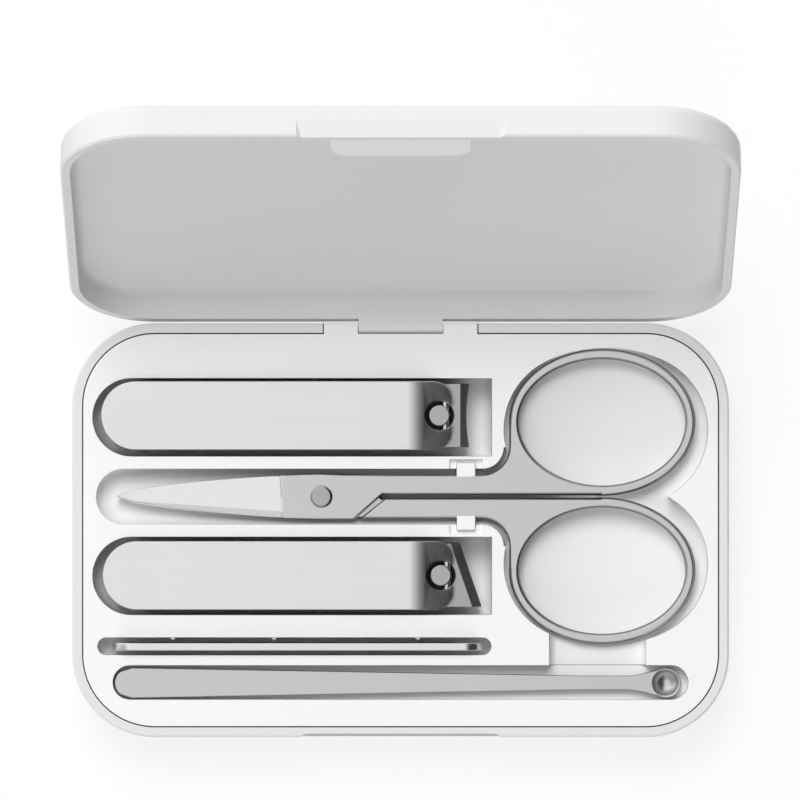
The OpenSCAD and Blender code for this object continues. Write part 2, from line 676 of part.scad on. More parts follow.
module lever() {
    hole_r = post_head_r + 0.6;
    drop = bend_rise * (lever_front - bar_ahead) / (bend_back + bar_ahead);
    h = lever_t / 2;
    flat = bar_z + bend_rise;
    lobe = 2.8;
    color("silver") difference() {
        union() {
            intersection() {
                rotate([90, 0, 0]) linear_extrude(lever_w + 2, center = true)
                    polygon([[-lever_back, flat - tail_fall - h], [-bend_back, flat - h],
                        [lever_front, bar_z - drop - h], [lever_front, bar_z - drop + h],
                        [-bend_back, flat + h], [-lever_back, flat - tail_fall + h]]);
                union() {
                    slot(-lever_back, lever_front - lobe, -lever_w / 2, lever_w / 2, 20,
                        right = false);
                    translate([-lobe, -lever_w / 2 + lobe, 0])
                        cube([lever_front + lobe, lever_w - 2 * lobe, 20]);
                    for (s = [-1, 1]) translate([lever_front - lobe, s * (lever_w / 2 - lobe), 0])
                        cylinder(r = lobe, h = 20);
                }
            }
        }
        cylinder(r = hole_r, h = 20);
        translate([0, -post_r - 0.25, 0]) cube([5, 2 * post_r + 0.5, 20]);
    }
    color("silver") translate([bar_ahead, 0, bar_z]) rotate([90, 0, 0])
        cylinder(r = bar_r, h = 2 * hole_r + 0.3, center = true);
}

module clipper_post() {
    neck = bar_r + 0.1;
    color("silver") difference() {
        union() {
            translate([0, 0, 0.05]) cylinder(r = 2.3, h = 0.65);
            translate([0, 0, 0.05]) cylinder(r = post_r, h = bar_z - 0.05);
            translate([0, 0, bar_z]) cylinder(r = post_head_r, h = neck + 0.45);
            translate([0, 0, bar_z + neck + 0.45])
                cylinder(r1 = post_head_r, r2 = post_head_r - 0.2, h = 0.15);
        }
        // notch that the lever's fulcrum bar turns in
        translate([bar_ahead, 0, bar_z]) rotate([90, 0, 0])
            cylinder(r = neck, h = 8, center = true);
        translate([bar_ahead, -4, bar_z - neck]) cube([4, 8, 2 * neck]);
        translate([-4, -4, bar_z - 0.01]) cube([4.01 - post_r, 8, neck]);
    }
}

module heel_rivet() {
    top = jaw_under(heel_x) + jaw_t + 0.2;
    color("silver") {
        translate([heel_x, 0, 0.05]) cylinder(r = 1.8, h = 0.5);
        translate([heel_x, 0, 0.05]) cylinder(r = rivet_r, h = top);
        translate([heel_x, 0, top]) cylinder(r = 1.8, h = 0.45);
    }
}

module at_straight() { translate([post_x, straight_y, clip_z]) children(); }
module at_slant() { translate([slant_x, slant_y, clip_z]) children(); }

// Scissors. Frame: the pivot at the origin, z = 0 in the plane between the halves.
function blade_up(t) = blade_half_w * pow(1 - pow(t, 1.3), 0.55);
function blade_low(t) = -blade_half_w * pow(1 - pow(t, 1.5), 0.72);
module scissor_half() {
    h = scissor_t / 2;
    g = 0.02;
    n = 12;
    web_x = ring_x - ring_outer_a - web_r;
    color("silver") difference() {
        union() {
            // blade and joint, in the upper half of the thickness
            translate([0, 0, g]) linear_extrude(h - g)
                polygon(concat(
                    [for (i = [0:n]) [-blade_l * i / n, blade_up(min(i / n, 0.999))]],
                    [for (i = [n - 1:-1:0]) [-blade_l * i / n, blade_low(i / n)]],
                    [[5.35, -blade_half_w], [9.9, arm_gap / 2 - 0.05], [11, arm_gap / 2],
                    [11, arm_half_w], [2, arm_half_w + 0.06]]));
            // arm with its web, up to the middle of the ring's band
            difference() {
                translate([0, 0, -h]) linear_extrude(2 * h)
                    polygon(concat(
                        [[ring_x, arm_gap / 2], [ring_x, ring_y],
                        [ring_x - ring_outer_a + 0.06, ring_y]],
                        arc([web_x, arm_half_w + web_r], web_r + 0.04, 0, -90, 8),
                        [[6.3, arm_half_w], [10.4, arm_gap / 2]]));
                translate([ring_x, ring_y, -h - 1]) scale([1, ring_hole_b / ring_hole_a, 1])
                    cylinder(r = ring_hole_a + ring_band / 2, h = 2 * h + 2, $fn = 128);
            }
            translate([ring_x, ring_y, 0])
                oval_band(ring_hole_a, ring_hole_b, ring_band, 2 * h, ring_round);
        }
        translate([0, 0, -h]) cylinder(r = pivot_r + 0.02, h = 2 * h + 1);
        // scribed line where the ground flat of the blade ends
        translate([-6.5, -0.1, h - 0.25]) rotate([0, 0, 4]) cube([0.22, 2 * blade_half_w, 1]);
        // ground bevel towards the cutting edge
        translate([-blade_l - 6.2, 0, h + 0.02]) rotate([12, 0, -4])
            translate([0, -8, 0]) cube([blade_l, 8, 3]);
    }
}

module at_scissors() { translate([pivot_x, scissor_y, scissor_z]) children(); }

module scissor_pivot() {
    h = scissor_t / 2;
    color("silver") at_scissors() {
        translate([0, 0, -h + 0.02]) cylinder(r = pivot_r, h = 2 * h);
        translate([0, 0, h + 0.02]) cylinder(r = pivot_head_r, h = 0.3);
        translate([0, 0, h + 0.32]) cylinder(r1 = pivot_head_r, r2 = pivot_head_r - 0.5, h = 0.15);
    }
}

module nail_file() {
    z0 = file_floor + seat_gap;
    x1 = clip_x1 - 1.45;
    color("gainsboro") translate([0, file_y, 0]) rotate([90, 0, 0])
        linear_extrude(file_t, center = true)
            polygon(round_rect(x1 - file_l, x1, z0, z0 + file_w, 3, 10));
}

module ear_pick() {
    x0 = -pick_l / 2;
    xs = pick_l / 2 - spoon_r;
    xn = x0 + 0.91 * pick_l;
    er = pick_w / 2 - 0.15;
    n = 6;
    flare = [for (i = [0:n]) [xn + i / n * (xs - 0.8 - xn),
        pick_neck_w / 2 + pow(i / n, 1.3) * (0.93 * spoon_r - pick_neck_w / 2)]];
    color("silver") translate([-pick_shift, pick_y, pick_floor + seat_gap]) difference() {
        union() {
            linear_extrude(pick_t) polygon(concat(
                arc([x0 + er, 0], er, 125, 235, 8),
                [[x0 + er + 0.6, -pick_w / 2], [x0 + 0.83 * pick_l, -pick_neck_w / 2]],
                [for (i = [0:n]) [flare[i].x, -flare[i].y]], [for (i = [n:-1:0]) flare[i]],
                [[x0 + 0.83 * pick_l, pick_neck_w / 2], [x0 + er + 0.6, pick_w / 2]]));
            translate([xs, 0, 0]) cylinder(r = spoon_r, h = pick_t);
        }
        translate([xs, 0, pick_t + 1.4]) sphere(r = 2.55);
    }
}

base_shell();
tool_tray();
scissor_snap_tabs();
hinge_pin();
base_magnet();
lid_shell();
lid_magnet();
lid_magnet_cover();
at_straight() lower_jaw(0);  // straight_lower_jaw
at_straight() upper_jaw(0);  // straight_upper_jaw
at_straight() lever();  // straight_lever
at_straight() clipper_post();  // straight_post
at_straight() heel_rivet();  // straight_heel_rivet
at_slant() lower_jaw(slant);  // slant_lower_jaw
at_slant() upper_jaw(slant);  // slant_upper_jaw
at_slant() lever();  // slant_lever
at_slant() clipper_post();  // slant_post
at_slant() heel_rivet();  // slant_heel_rivet
at_scissors() scissor_half();  // scissor_half_upper
at_scissors() rotate([180, 0, 0]) scissor_half();  // scissor_half_lower
scissor_pivot();
nail_file();
ear_pick();
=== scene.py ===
"""Dresses the manicure set case in its plastics and steels, rounds its tools' edges, cuts the
file's teeth and sets up the studio that the case lies in."""

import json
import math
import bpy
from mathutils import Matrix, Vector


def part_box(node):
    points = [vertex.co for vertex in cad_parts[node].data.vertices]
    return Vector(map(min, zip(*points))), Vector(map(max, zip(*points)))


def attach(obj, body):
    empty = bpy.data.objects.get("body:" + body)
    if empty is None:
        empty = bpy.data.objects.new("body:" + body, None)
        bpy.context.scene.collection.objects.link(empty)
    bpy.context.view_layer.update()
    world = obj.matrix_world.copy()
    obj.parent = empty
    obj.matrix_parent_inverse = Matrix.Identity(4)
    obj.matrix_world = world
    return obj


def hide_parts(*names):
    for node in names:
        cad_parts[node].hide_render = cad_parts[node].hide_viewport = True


bl_info = {
    "name": "Manicure set case",
    "version": (1, 0, 0),
    "blender": (4, 5, 0),
    "location": "3D View > Sidebar > Manicure set",
    "description": "Finishes the parts of a manicure set case and stages them",
    "category": "Object",
}

import bmesh
import bpy
from bpy.props import FloatProperty, FloatVectorProperty, IntProperty, PointerProperty
from mathutils import Vector
from mathutils.bvhtree import BVHTree

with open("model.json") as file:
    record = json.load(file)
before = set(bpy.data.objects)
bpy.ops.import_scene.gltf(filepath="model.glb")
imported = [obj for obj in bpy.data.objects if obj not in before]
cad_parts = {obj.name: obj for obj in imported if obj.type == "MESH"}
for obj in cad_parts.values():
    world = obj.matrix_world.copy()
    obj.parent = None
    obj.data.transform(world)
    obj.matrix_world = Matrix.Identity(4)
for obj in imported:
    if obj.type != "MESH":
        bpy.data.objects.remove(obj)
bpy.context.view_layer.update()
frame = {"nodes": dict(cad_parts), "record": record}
NODES = frame["nodes"]
BODY_OF = {node: body for body, nodes in frame["record"]["behaviour"]["bodies"].items() for node in nodes}
CLIPPERS = ("straight", "slant")
FILE_LOW, FILE_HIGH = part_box("nail_file")

# Turns between two faces, in degrees. Faces under FLAT are merged before the rounding, and
# faces at a piece's very top under TOP_FLAT before the shading. An edge over SHARP is rounded
# as a sharp one. Two broad faces over CREASE meet at a bend, which also breaks the shading.
# An edge over BREAK breaks the shading however small its faces are.
FLAT = 0.4
TOP_FLAT = 0.1
CREASE = 6.0
SHARP = 35.0
BREAK = 50.0
# Smallest area of a broad face, in m2
BROAD = 3.0e-6
# Vertices closer than WELD are one, and edges shorter than SHORT are drawn together, in m
WELD = 1.0e-7
SHORT = 0.00002
# A rounded copy's vertex goes back to its solid's surface if it lies more than STRAY m outside
# it, or farther from it than ASTRAY times the widest rounding
STRAY = 0.0001
ASTRAY = 0.35
# An edge runs upright if this share of its length or more is along Z
UPRIGHT = 0.5
BEVEL_SEGMENTS = 4

# Steel gets a painted dark reflection and shade where the Z of its normal is under STEEP, and none over
# LYING
LYING = 0.88
STEEP = 0.5
# Length over which a blade's ground part begins, in m
GROUND_FADE = 0.0008
# Tone of the painted shade in a disc about a post, standing for the shade in the lever's hole, and the
# share of its reach over which it fades out
POST_SHADE_TONE = 0.06
POST_SHADE_FADE = 0.1

# Where one part of the sky goes over into the next, by the X, Y or Z of the direction
MIDDLE_Y = (-0.1, 0.6)
HORIZON_Y = (-0.6, 0.4)
HORIZON_TO_MIDDLE_Z = (0.3, 0.6)
MIDDLE_TO_OVERHEAD_Z = (0.8, 0.97)
OVERHEAD_X = (-0.3, 0.25)
FLAG_X = (0.14, 0.3)
# Share of the overhead brightness on the left and on the right
OVERHEAD_LEFT = 1.1
OVERHEAD_RIGHT = 0.88
# Half width of the table in m, and the share of plain white in how it is seen directly
TABLE_REACH = 3.0
TABLE_WHITE = 0.8


# Shader maths


class Level:
    """A value in a material. The usual operators add the Math nodes that work them out."""

    def __init__(self, finish, socket):
        self.finish = finish
        self.socket = socket

    def _maths(self, operation, first, second):
        return self.finish.node("ShaderNodeMath", {"operation": operation}, {0: first, 1: second})

    def __add__(self, other):
        return self._maths("ADD", self, other)

    __radd__ = __add__

    def __sub__(self, other):
        return self._maths("SUBTRACT", self, other)

    def __rsub__(self, other):
        return self._maths("SUBTRACT", other, self)

    def __mul__(self, other):
        return self._maths("MULTIPLY", self, other)

    __rmul__ = __mul__


class Finish:
    """The nodes of one material or world."""

    def __init__(self, owner):
        self.owner = owner
        owner.use_nodes = True
        self.tree = owner.node_tree
        self.tree.nodes.clear()

    def node(self, kind, settings=None, inputs=None, output=0):
        """Adds a node, sets it up, feeds its inputs and returns one of its outputs."""
        made = self.tree.nodes.new(kind)
        for key, value in (settings or {}).items():
            setattr(made, key, value)
        for key, value in (inputs or {}).items():
            if isinstance(value, Level):
                self.tree.links.new(value.socket, made.inputs[key])
            else:
                made.inputs[key].default_value = value
        return Level(self, made.outputs[output]) if made.outputs else None

    def place(self, scale=(1, 1, 1)):
        """Object coordinates, scaled."""
        found = self.node("ShaderNodeTexCoord", output="Object")
        return self.node("ShaderNodeMapping", {}, {"Vector": found, "Scale": scale})

    def noise(self, vector, scale, detail=2.0, roughness=0.5):
        """Cloudy noise from 0 to 1."""
        return self.node(
            "ShaderNodeTexNoise",
            {},
            {"Vector": vector, "Scale": scale, "Detail": detail, "Roughness": roughness},
        )

    def smooth(self, level, start, end, low=0.0, high=1.0):
        """Goes smoothly from low to high as the level goes from start to end."""
        return self.node(
            "ShaderNodeMapRange",
            {"interpolation_type": "SMOOTHSTEP"},
            {"Value": level, "From Min": start, "From Max": end, "To Min": low, "To Max": high},
        )

    def distance(self, x, y):
        """Distance from the upright line at x and y."""
        found = self.node("ShaderNodeTexCoord", output="Object")
        flat = self.node(
            "ShaderNodeVectorMath", {"operation": "MULTIPLY"}, {0: found, 1: (1.0, 1.0, 0.0)}
        )
        return self.node(
            "ShaderNodeVectorMath", {"operation": "DISTANCE"}, {0: flat, 1: (x, y, 0.0)}, "Value"
        )

    def edge(self):
        """1 where the surface stands steeply and 0 where it lies flat."""
        normal = self.node("ShaderNodeTexCoord", output="Normal")
        upward = self.node("ShaderNodeSeparateXYZ", {}, {0: normal}, "Z")
        level = self.node("ShaderNodeMath", {"operation": "ABSOLUTE"}, {0: upward})
        return self.smooth(level, LYING, STEEP)

    def mix(self, factor, first, second):
        """Mixes two colours."""
        return self.node("ShaderNodeMix", {"data_type": "RGBA"}, {0: factor, 6: first, 7: second}, 2)

    def vary(self, factor, colour, low, high):
        """A colour that goes from low to high times its brightness."""
        return self.mix(factor, shade(colour, low), shade(colour, high))

    def bump(self, strength, depth, height):
        """A normal that follows a height."""
        return self.node(
            "ShaderNodeBump", {}, {"Strength": strength, "Distance": depth, "Height": height}
        )

    def surface(self, **inputs):
        """Ends the tree in one Principled shader."""
        named = {key.replace("_", " ").title(): value for key, value in inputs.items()}
        if "Ior" in named:
            named["IOR"] = named.pop("Ior")
        shader = self.node("ShaderNodeBsdfPrincipled", {}, named)
        self.node("ShaderNodeOutputMaterial", {}, {"Surface": shader})
        return self.owner


def new_finish(name):
    return Finish(bpy.data.materials.new(name))


def shade(colour, factor):
    """A colour made darker or lighter by a factor, with alpha."""
    return tuple(min(1.0, part * factor) for part in colour[:3]) + (1.0,)


# Finishes


def moulded_plastic(name, look, colour):
    """White plastic with a fine moulded grain and faint clouding."""
    finish = new_finish(name)
    place = finish.place()
    grain = finish.noise(place, 1 / look.grain_size, 3.0, 0.6)
    cloud = finish.noise(place, 1 / look.cloud_size, 3.0)
    colour = finish.vary(cloud, colour, 0.985, 1.01)
    bump = finish.bump(0.35, look.grain_depth, grain)
    rough = look.roughness + (grain - 0.5) * 0.12 + (cloud - 0.5) * 0.05
    return finish.surface(base_color=colour, roughness=rough, normal=bump, ior=1.5)


def brushed_steel(name, look, tone, painted_shade_post=None, painted_dark_edges=True):
    """Satin steel brushed along X, with a painted dark reflection on steep faces and a painted shade disc
    about a post.
    """
    finish = new_finish(name)
    steel = shade(look.colour, tone)
    across = 1 / look.line_width
    along = 1 / look.line_length
    lines = finish.noise(finish.place((along, across, across)), 1.0, 3.0, 0.65)
    broad = finish.noise(finish.place((12, 700, 700)), 1.0, 2.0)
    cloud = finish.noise(finish.place(), 110, 2.0)
    mark = (lines - 0.5) * look.line_contrast + (broad - 0.5) * look.line_contrast * 0.6 + 0.5
    colour = finish.vary(mark, steel, 0.94, 1.06)
    bump = finish.bump(0.3, look.line_depth, lines)
    rough = look.roughness + (lines - 0.5) * 0.1 + (cloud - 0.5) * 0.04
    # Painted dark reflection and shade on steep faces, such as rounded edges and walls
    if painted_dark_edges:
        colour = finish.mix(finish.edge(), colour, shade(steel, look.painted_edge_tone))
    # Painted shade: a dark disc on the jaw about the post, where the lever's hole shows only shade
    if painted_shade_post:
        away = finish.distance(*painted_shade_post)
        edge = look.post_shade_radius + (cloud - 0.5) * look.post_shade_radius * POST_SHADE_FADE
        post_shade = finish.smooth(away, edge, edge * (1 - POST_SHADE_FADE))
        colour = finish.mix(post_shade, colour, shade(steel, POST_SHADE_TONE))
    return finish.surface(base_color=colour, metallic=1.0, roughness=rough, normal=bump)


def blade_steel(name, look, tone, start):
    """Satin steel with a painted dark reflection on steep faces and a brighter ground finish short of an
    X.
    """
    finish = new_finish(name)
    steel = shade(look.colour, tone)
    place = finish.place()
    lines = finish.noise(finish.place((60, 5200, 5200)), 1.0, 3.0, 0.65)
    grit = finish.noise(place, 5200, 2.0)
    x = finish.node("ShaderNodeSeparateXYZ", {}, {0: place}, "X")
    ground = finish.smooth(x, start, start - GROUND_FADE)
    plain = finish.vary(grit, steel, 0.96, 1.04)
    bright = finish.vary(lines, steel, 1.22, 1.32)
    colour = finish.mix(ground, plain, bright)
    # Painted dark reflection and shade on steep faces
    colour = finish.mix(finish.edge(), colour, shade(steel, look.painted_edge_tone))
    bump = finish.bump(0.25, look.line_depth, grit)
    rough = look.roughness - ground * 0.06 + (lines - 0.5) * 0.1
    return finish.surface(base_color=colour, metallic=1.0, roughness=rough, normal=bump)


def polished_steel(name, look, tone=1.0):
    """Turned and polished steel of pins and rivets."""
    finish = new_finish(name)
    steel = shade(look.colour, tone)
    grit = finish.noise(finish.place(), 6000, 2.0)
    colour = finish.vary(grit, steel, 0.95, 1.04)
    bump = finish.bump(0.15, look.line_depth, grit)
    rough = look.roughness * 0.8 + (grit - 0.5) * 0.08
    return finish.surface(base_color=colour, metallic=1.0, roughness=rough, normal=bump)


# Pieces


def dress(node, material):
    """Gives a CAD node its finish."""
    part = NODES[node]
    if not part.material_slots:
        part.data.materials.append(material)
    for slot in part.material_slots:
        slot.material = material


def keep_mesh(piece):
    """Turns a piece and its modifiers into one plain mesh."""
    graph = bpy.context.evaluated_depsgraph_get()
    result = bpy.data.meshes.new_from_object(piece.evaluated_get(graph))
    piece.modifiers.clear()
    piece.data = result


def breadth(edge):
    """Area of the smaller face at an edge."""
    return min((face.calc_area() for face in edge.link_faces), default=0.0)


class Rounding:
    """Widths that edges are rounded by. A span in X sets where they go from fine to full.

    Upright edges can be left out. Inner edges, which are the concave ones, are left out unless
    asked for.
    """

    def __init__(self, sharp, bend=0.0, fine=0.0, fine_span=None, upright=True, inner=False):
        self.sharp = sharp
        self.bend = bend
        self.fine = fine
        self.fine_span = fine_span
        self.upright = upright
        self.inner = inner

    def width(self, edge):
        """Width of one edge, 0 where it stays as it is."""
        turn = math.degrees(edge.calc_face_angle(0.0))
        first, last = (vertex.co for vertex in edge.verts)
        if not self.inner and not edge.is_convex:
            return 0.0
        if not self.upright and abs(last.z - first.z) > UPRIGHT * edge.calc_length():
            return 0.0
        if turn > SHARP:
            if not self.fine_span:
                return self.sharp
            start, end = self.fine_span
            along = ((first.x + last.x) / 2 - start) / (end - start)
            return self.fine + (self.sharp - self.fine) * min(1.0, max(0.0, along))
        return self.bend if turn > CREASE and breadth(edge) > BROAD else 0.0


def rounded_copy(node, name, rounding, material, play=0.0):
    """Shows a rounded copy in place of a CAD node, with its faces drawn in by the play."""
    form = bmesh.new()
    form.from_mesh(NODES[node].data)
    bmesh.ops.remove_doubles(form, verts=form.verts, dist=WELD)
    bmesh.ops.dissolve_limit(form, angle_limit=math.radians(FLAT), verts=form.verts, edges=form.edges)
    bmesh.ops.remove_doubles(form, verts=form.verts, dist=SHORT)
    widest = max(rounding.sharp, rounding.bend)
    share = form.edges.layers.float.new("bevel_weight_edge")
    for edge in form.edges:
        edge[share] = rounding.width(edge) / widest
    ragged = [face for face in form.faces if len(face.verts) > 4]
    bmesh.ops.triangulate(form, faces=ragged, ngon_method="BEAUTY")
    mesh = bpy.data.meshes.new(name)
    form.to_mesh(mesh)
    mesh.materials.append(material)
    piece = bpy.data.objects.new(name, mesh)
    bpy.context.scene.collection.objects.link(piece)
    bevel = piece.modifiers.new("Soft edges", "BEVEL")
    bevel.limit_method = "WEIGHT"
    bevel.width = widest
    bevel.segments = BEVEL_SEGMENTS
    bevel.use_clamp_overlap = False
    bevel.loop_slide = False
    keep_mesh(piece)
    solid = BVHTree.FromBMesh(form)
    form.free()
    low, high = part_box(node)
    for vertex in piece.data.vertices:
        near, normal, _face, distance = solid.find_nearest(vertex.co)
        if distance > ASTRAY * widest or (vertex.co - near).dot(normal) > STRAY:
            vertex.co = near
        vertex.co = [min(max(v, a), b) for v, a, b in zip(vertex.co, low, high)]
    inward = [vertex.normal * play for vertex in piece.data.vertices]
    for vertex, step in zip(piece.data.vertices, inward):
        vertex.co -= step
    smooth_faces(piece)
    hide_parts(node)
    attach(piece, BODY_OF[node])


def smooth_faces(piece):
    """Smooth shading, broken at sharp edges and at creases between two broad faces."""
    form = bmesh.new()
    form.from_mesh(piece.data)
    top = max(vertex.co.z for vertex in form.verts) - SHORT
    level = [edge for edge in form.edges if all(vertex.co.z > top for vertex in edge.verts)]
    bmesh.ops.dissolve_limit(form, angle_limit=math.radians(TOP_FLAT), verts=[], edges=level)
    for face in form.faces:
        face.smooth = True
    for edge in form.edges:
        turn = math.degrees(edge.calc_face_angle(0.0))
        edge.smooth = turn < CREASE or (turn < BREAK and breadth(edge) < BROAD)
    form.to_mesh(piece.data)
    form.free()
    weighted = piece.modifiers.new("Flat faces", "WEIGHTED_NORMAL")
    weighted.keep_sharp = True
    keep_mesh(piece)


def teeth_nodes(material):
    """Rows of slanted bars on the two faces of a file."""
    group = bpy.data.node_groups.new("File teeth", "GeometryNodeTree")
    sockets = group.interface
    sockets.new_socket("Geometry", in_out="OUTPUT", socket_type="NodeSocketGeometry")
    for name, kind in (
        ("Count", "NodeSocketInt"),
        ("Pitch", "NodeSocketFloat"),
        ("Start", "NodeSocketVector"),
        ("Face", "NodeSocketFloat"),
        ("Slant", "NodeSocketFloat"),
        ("Sides", "NodeSocketInt"),
        ("Radius", "NodeSocketFloat"),
        ("Length", "NodeSocketFloat"),
    ):
        sockets.new_socket(name, in_out="INPUT", socket_type=kind)
    nodes = group.nodes
    links = group.links
    given = nodes.new("NodeGroupInput").outputs

    def vector(**parts):
        made = nodes.new("ShaderNodeCombineXYZ")
        for axis, socket in parts.items():
            links.new(socket, made.inputs[axis.upper()])
        return made.outputs[0]

    bar = nodes.new("GeometryNodeMeshCylinder")
    links.new(given["Sides"], bar.inputs["Vertices"])
    links.new(given["Radius"], bar.inputs["Radius"])
    links.new(given["Length"], bar.inputs["Depth"])
    both = nodes.new("GeometryNodeJoinGeometry")
    for side in (-1, 1):
        row = nodes.new("GeometryNodeMeshLine")
        links.new(given["Count"], row.inputs["Count"])
        links.new(given["Start"], row.inputs["Start Location"])
        links.new(vector(x=given["Pitch"]), row.inputs["Offset"])
        reach = nodes.new("ShaderNodeMath")
        reach.operation = "MULTIPLY"
        links.new(given["Face"], reach.inputs[0])
        reach.inputs[1].default_value = side
        moved = nodes.new("GeometryNodeSetPosition")
        links.new(row.outputs["Mesh"], moved.inputs["Geometry"])
        links.new(vector(y=reach.outputs[0]), moved.inputs["Offset"])
        turn = nodes.new("ShaderNodeMath")
        turn.operation = "MULTIPLY"
        links.new(given["Slant"], turn.inputs[0])
        turn.inputs[1].default_value = side
        placed = nodes.new("GeometryNodeInstanceOnPoints")
        links.new(moved.outputs["Geometry"], placed.inputs["Points"])
        links.new(bar.outputs["Mesh"], placed.inputs["Instance"])
        links.new(vector(y=turn.outputs[0]), placed.inputs["Rotation"])
        links.new(placed.outputs["Instances"], both.inputs["Geometry"])
    plain = nodes.new("GeometryNodeRealizeInstances")
    links.new(both.outputs["Geometry"], plain.inputs["Geometry"])
    coat = nodes.new("GeometryNodeSetMaterial")
    coat.inputs["Material"].default_value = material
    links.new(plain.outputs["Geometry"], coat.inputs["Geometry"])
    links.new(coat.outputs["Geometry"], nodes.new("NodeGroupOutput").inputs["Geometry"])
    return group


# Sizes and colours


class PlasticLook(bpy.types.PropertyGroup):
    """White moulded plastics of the case and its tray."""

    # The shell's white is darker than the tray's so that the lid and base show less light: painted shade
    shell: FloatVectorProperty(
        name="Shell", description="Colour of base and lid", subtype="COLOR", default=(0.75, 0.75, 0.748)
    )
    tray: FloatVectorProperty(
        name="Tray", description="Colour of the tray", subtype="COLOR", default=(0.89, 0.89, 0.888)
    )
    roughness: FloatProperty(name="Roughness", description="Mean roughness", default=0.5)
    grain_size: FloatProperty(
        name="Grain", description="Size of the moulded grain", unit="LENGTH", default=0.00022
    )
    grain_depth: FloatProperty(
        name="Grain depth", description="Depth of the moulded grain", unit="LENGTH", default=0.00001
    )
    cloud_size: FloatProperty(
        name="Clouding", description="Size of the faint clouding", unit="LENGTH", default=0.02
    )


class SteelLook(bpy.types.PropertyGroup):
    """Satin stainless steel of the tools."""

    colour: FloatVectorProperty(
        name="Colour", description="Colour of the steel", subtype="COLOR", default=(0.64, 0.64, 0.636)
    )
    # The part tones make lighter and darker copies of one steel, each set to how bright its part shows in
    # its light: painted light and shade
    lever_tone: FloatProperty(name="Lever tone", description="Tone of the levers", default=1.4)
    jaw_tone: FloatProperty(name="Jaw tone", description="Tone of the clippers' jaws", default=0.7)
    pin_tone: FloatProperty(name="Pin tone", description="Tone of posts and rivets", default=0.76)
    blade_tone: FloatProperty(name="Blade tone", description="Tone of the scissors", default=1.12)
    file_tone: FloatProperty(name="File tone", description="Tone of the nail file", default=1.42)
    pick_tone: FloatProperty(name="Pick tone", description="Tone of the ear pick", default=1.1)
    roughness: FloatProperty(name="Roughness", description="Mean roughness", default=0.3)
    line_width: FloatProperty(
        name="Line width", description="Width of a brushed line", unit="LENGTH", default=0.00012
    )
    line_length: FloatProperty(
        name="Line length", description="Length of a brushed line", unit="LENGTH", default=0.012
    )
    line_depth: FloatProperty(
        name="Line depth", description="Depth of a brushed line", unit="LENGTH", default=0.000002
    )
    blade_start: FloatProperty(
        name="Blade start", description="Pivot to the ground part", unit="LENGTH", default=0.006
    )
    # Tone of the painted dark reflection and shade on steep steel faces
    painted_edge_tone: FloatProperty(name="Painted dark edges", description="Tone of painted dark edges", default=0.3)
    # Reach of the painted shade about a post
    post_shade_radius: FloatProperty(
        name="Post shade", description="Reach of the oil about a post", unit="LENGTH", default=0.0026
    )
    line_contrast: FloatProperty(
        name="Line contrast", description="How much the lines vary in tone", default=0.6
    )


class EdgeSizes(bpy.types.PropertyGroup):
    """Radius of the rounded edges of each tool, and how far the posts are drawn in."""

    lever: FloatProperty(name="Levers", description="Levers", unit="LENGTH", default=0.00016)
    bend: FloatProperty(name="Bends", description="Levers' bends", unit="LENGTH", default=0.0013)
    jaw: FloatProperty(name="Jaws", description="Clipper jaws", unit="LENGTH", default=0.0001)
    post: FloatProperty(name="Posts", description="Posts and rivets", unit="LENGTH", default=0.00008)
    scissor: FloatProperty(name="Scissors", description="Arms and rings", unit="LENGTH", default=0.0004)
    blade: FloatProperty(name="Blades", description="Scissor blades", unit="LENGTH", default=0.0001)
    pick: FloatProperty(name="Ear pick", description="Ear pick", unit="LENGTH", default=0.0002)
    file: FloatProperty(name="Nail file", description="Nail file", unit="LENGTH", default=0.00015)
    tray: FloatProperty(name="Tray", description="Tray's pockets", unit="LENGTH", default=0.0001)
    # The solids of lever and post share up to 0.004 mm3 beyond about 125 degrees of tilt.
    # This draws the shown posts in, so that the shown pieces don't meet there.
    play: FloatProperty(
        name="Play", description="How far the shown posts are drawn in", unit="LENGTH", default=0.00005
    )


class FileCut(bpy.types.PropertyGroup):
    """Teeth cut into the file's two faces."""

    pitch: FloatProperty(
        name="Pitch", description="Distance between teeth", unit="LENGTH", default=0.0006
    )
    height: FloatProperty(
        name="Height", description="Height of a tooth", unit="LENGTH", default=0.00006
    )
    slant: FloatProperty(
        name="Slant", description="Slant of the teeth", subtype="ANGLE", default=math.radians(28)
    )
    plain_end: FloatProperty(
        name="Plain end", description="Uncut length at each end", unit="LENGTH", default=0.0035
    )
    margin: FloatProperty(
        name="Margin", description="Uncut strip along each edge", unit="LENGTH", default=0.0006
    )
    sides: IntProperty(name="Sides", description="Sides of a tooth's bar", default=4, min=3)


